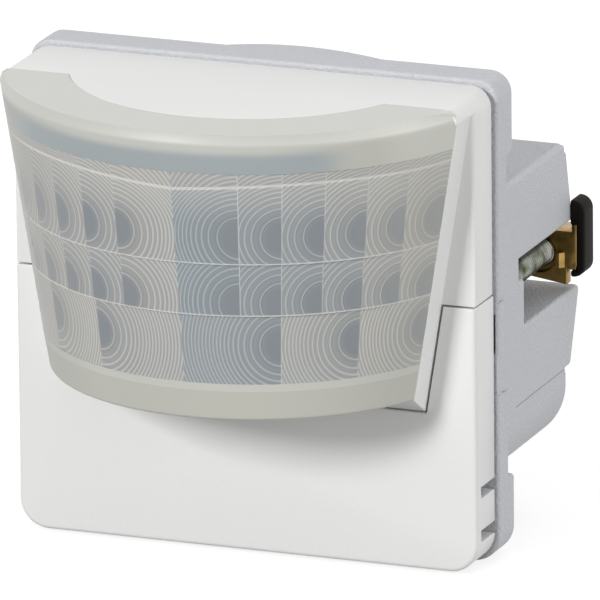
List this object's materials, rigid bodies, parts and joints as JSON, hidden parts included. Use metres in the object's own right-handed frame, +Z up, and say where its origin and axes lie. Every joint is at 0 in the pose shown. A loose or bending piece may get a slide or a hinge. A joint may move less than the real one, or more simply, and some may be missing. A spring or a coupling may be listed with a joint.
{
  "type": "motion sensor light switch",
  "caption": "Flush wall insert with a rounded milky lens head over white pull-off covers, a grey frame and housing, and claws that brace it in a wall box; it switches a light on movement.",
  "frame": {"origin": "centre of the box opening on the wall plane, where the frame's rear face rests", "axes": "+X to the right seen from the room, +Y into the wall, +Z up"},
  "size_m": [0.0536, 0.0524, 0.0508],
  "materials": {
    "cover_white": "fine matt moulded",
    "lens_milky": "milky, with fine ring grooves",
    "inner_white": "plain moulded",
    "shade_dark": "plain moulded",
    "board_green": "lacquered laminate",
    "can_steel": "plain",
    "filter_dark": "dark filter",
    "lead_gold": "plated",
    "eye_clear": "clear moulded",
    "light_red": "tinted moulded",
    "frame_grey": "fine matt moulded",
    "screw_zinc": "zinc plated",
    "panel_grey": "plain moulded",
    "dial_white": "plain moulded",
    "pot_blue": "plain moulded",
    "switch_dark": "plain moulded",
    "chip_black": "moulded epoxy",
    "relay_orange": "plain moulded",
    "capacitor_yellow": "plain moulded",
    "can_sleeve": "sleeved can",
    "choke_ferrite": "sintered",
    "claw_brass": "bent sheet",
    "pad_rubber": "matt"
  },
  "bodies": {
    "switch_base": {"upper_cover": "cover_white", "fresnel_lens": "lens_milky", "lens_retainer": "inner_white", "sensor_shade": "shade_dark", "sensor_board": "board_green", "sensor_can": "can_steel", "sensor_window": "filter_dark", "sensor_leads": "lead_gold", "light_sensor": "eye_clear", "status_light": "light_red", "sensor_pins": "lead_gold", "mounting_frame": "frame_grey", "frame_screws": "screw_zinc", "control_panel": "panel_grey", "dial_pots": "pot_blue", "mode_switch": "switch_dark", "control_board": "board_green", "controller_chip": "chip_black", "board_screws": "screw_zinc", "board_pins": "lead_gold", "power_board": "board_green", "relay": "relay_orange", "film_capacitor": "capacitor_yellow", "electrolytic_capacitors": "can_sleeve", "choke": "choke_ferrite", "terminal_cages": "claw_brass", "terminal_springs": "can_steel", "rear_housing": "frame_grey", "terminal_cover": "frame_grey", "cover_screws": "screw_zinc"},
    "lower_cover": {"lower_cover": "cover_white"},
    "time_dial": {"time_dial": "dial_white"},
    "light_dial": {"light_dial": "dial_white"},
    "range_dial": {"range_dial": "dial_white"},
    "mode_slider": {"mode_slider": "dial_white"},
    "left_claw_screw": {"left_claw_screw": "screw_zinc"},
    "right_claw_screw": {"right_claw_screw": "screw_zinc"},
    "left_claw": {"left_claw": "claw_brass", "left_claw_pad": "pad_rubber"},
    "right_claw": {"right_claw": "claw_brass", "right_claw_pad": "pad_rubber"}
  },
  "joints": [
    {"name": "lower_cover_pull", "type": "slide", "parent": "switch_base", "child": "lower_cover", "axis": [0, -1, 0], "range_m": [0, 0.03]},
    {"name": "time_dial_turn", "type": "hinge", "parent": "switch_base", "child": "time_dial", "pos_m": [-0.01335, 0, -0.0132], "axis": [0, 1, 0], "range_deg": [-135, 135]},
    {"name": "light_dial_turn", "type": "hinge", "parent": "switch_base", "child": "light_dial", "pos_m": [-0.00445, 0, -0.0132], "axis": [0, 1, 0], "range_deg": [-135, 135]},
    {"name": "range_dial_turn", "type": "hinge", "parent": "switch_base", "child": "range_dial", "pos_m": [0.00445, 0, -0.0132], "axis": [0, 1, 0], "range_deg": [-135, 135]},
    {"name": "mode_slider_slide", "type": "slide", "parent": "switch_base", "child": "mode_slider", "axis": [1, 0, 0], "range_m": [-0.002, 0.002]},
    {"name": "left_claw_screw_turn", "type": "hinge", "parent": "switch_base", "child": "left_claw_screw", "pos_m": [-0.0216, 0, 0.0012], "axis": [0, 1, 0], "range_deg": [0, 4320]},
    {"name": "right_claw_screw_turn", "type": "hinge", "parent": "switch_base", "child": "right_claw_screw", "pos_m": [0.0216, 0, 0.0012], "axis": [0, 1, 0], "range_deg": [0, 4320]},
    {"name": "left_claw_draw", "type": "slide", "parent": "switch_base", "child": "left_claw", "axis": [0, -1, 0], "range_m": [0, 0.006]},
    {"name": "right_claw_draw", "type": "slide", "parent": "switch_base", "child": "right_claw", "axis": [0, -1, 0], "range_m": [0, 0.006]}
  ],
  "couplings": [
    {"joint": "left_claw_screw_turn", "follows": "left_claw_draw", "rad_per_m": 12566},
    {"joint": "right_claw_screw_turn", "follows": "right_claw_draw", "rad_per_m": 12566}
  ]
}
